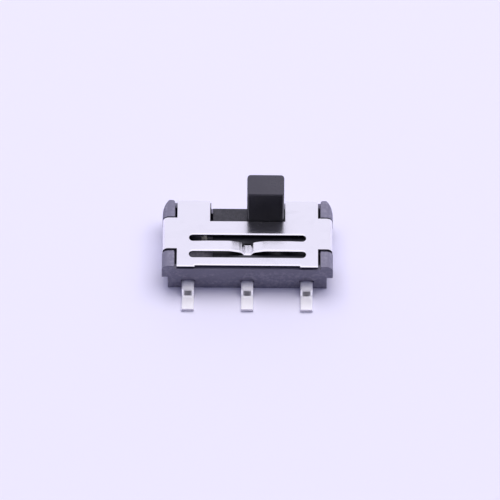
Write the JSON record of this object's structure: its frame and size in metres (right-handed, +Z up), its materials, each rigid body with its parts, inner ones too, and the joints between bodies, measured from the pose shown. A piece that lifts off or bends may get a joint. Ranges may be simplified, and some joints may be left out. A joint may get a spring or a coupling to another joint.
{
  "type": "slide switch",
  "caption": "Ultra-miniature surface-mount slide switch with a plated cover, a top knob that slides between stops, and gull-wing solder feet along its front.",
  "frame": {"origin": "centre of the body in plan, on the board plane", "axes": "+X along the knob's travel, towards the knob's rest end; +Y from the solder feet to the back; +Z up from the board"},
  "size_m": [0.0072, 0.0048, 0.0033],
  "materials": {
    "base_plastic": "moulded, fine matt",
    "cover_plate": "bright plated sheet",
    "slider_plastic": "black moulded, fine matt",
    "spring_contact": "plated spring strip",
    "terminal_tin": "tin-plated strip, dull"
  },
  "bodies": {
    "housing": {"base": "base_plastic", "cover": "cover_plate", "terminal_left": "terminal_tin", "terminal_common": "terminal_tin", "terminal_right": "terminal_tin"},
    "carriage": {"slider": "slider_plastic", "contact_clip": "spring_contact"}
  },
  "joints": [
    {"name": "knob_slide", "type": "slide", "parent": "housing", "child": "carriage", "axis": [1, 0, 0], "range_m": [-0.0015, 0]}
  ]
}
